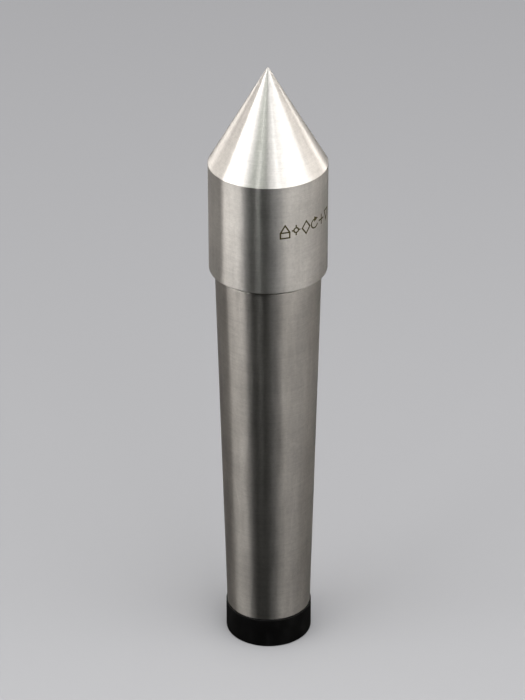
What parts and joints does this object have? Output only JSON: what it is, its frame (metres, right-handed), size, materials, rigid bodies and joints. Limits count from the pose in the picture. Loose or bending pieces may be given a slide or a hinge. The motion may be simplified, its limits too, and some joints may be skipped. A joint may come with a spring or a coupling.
{
  "type": "live center",
  "caption": "Slim live lathe center: a 60 degree point and collar turn on bearings inside a Morse taper shank, with a black cap on the shank's end.",
  "frame": {"origin": "centre of the end cap's underside, on which the center stands", "axes": "+Z along the axis of rotation towards the point; X and Y square to it"},
  "size_m": [0.02, 0.02, 0.1091],
  "materials": {
    "point_steel": "ground bright, fine lines around the axis",
    "shank_steel": "ground, slightly darker than the collar",
    "bearing_steel": "hardened and polished",
    "sheet_steel": "rolled sheet",
    "spring_steel": "dark spring steel",
    "black_steel": "black oxide",
    "cage_brass": "machined",
    "cap_plastic": "moulded black plastic, fine texture",
    "seal_rubber": "black nitrile rubber"
  },
  "bodies": {
    "shank": {"taper_shank": "shank_steel", "mouth_seal": "seal_rubber", "shim_ring": "sheet_steel", "thrust_washer_lower": "bearing_steel", "front_needle_cup": "bearing_steel", "disc_springs": "spring_steel", "rear_bearing_outer_ring": "bearing_steel", "rear_bearing_shields": "sheet_steel", "rear_plug": "black_steel", "plug_o_ring": "seal_rubber", "end_cap": "cap_plastic"},
    "spindle": {"point_spindle": "point_steel", "thrust_washer_upper": "bearing_steel", "rear_bearing_inner_ring": "bearing_steel", "lock_washer": "sheet_steel", "lock_nut": "black_steel"},
    "thrust_ball_set": {"thrust_balls": "bearing_steel", "thrust_cage": "cage_brass"},
    "needle_set": {"front_needles": "bearing_steel", "front_needle_cage": "sheet_steel"},
    "rear_ball_set": {"rear_bearing_balls": "bearing_steel", "rear_bearing_cage": "sheet_steel"}
  },
  "joints": [
    {"name": "spindle_spin", "type": "hinge", "parent": "shank", "child": "spindle", "pos_m": [0, 0, 0.0721], "axis": [0, 0, 1], "continuous": true},
    {"name": "thrust_cage_orbit", "type": "hinge", "parent": "shank", "child": "thrust_ball_set", "pos_m": [0, 0, 0.06701], "axis": [0, 0, 1], "continuous": true},
    {"name": "needle_cage_orbit", "type": "hinge", "parent": "shank", "child": "needle_set", "pos_m": [0, 0, 0.05936], "axis": [0, 0, 1], "continuous": true},
    {"name": "rear_cage_orbit", "type": "hinge", "parent": "shank", "child": "rear_ball_set", "pos_m": [0, 0, 0.0206], "axis": [0, 0, 1], "continuous": true}
  ],
  "couplings": [
    {"joint": "thrust_cage_orbit", "follows": "spindle_spin", "ratio": 0.5},
    {"joint": "needle_cage_orbit", "follows": "spindle_spin", "ratio": 0.4268},
    {"joint": "rear_cage_orbit", "follows": "spindle_spin", "ratio": 0.3941}
  ]
}
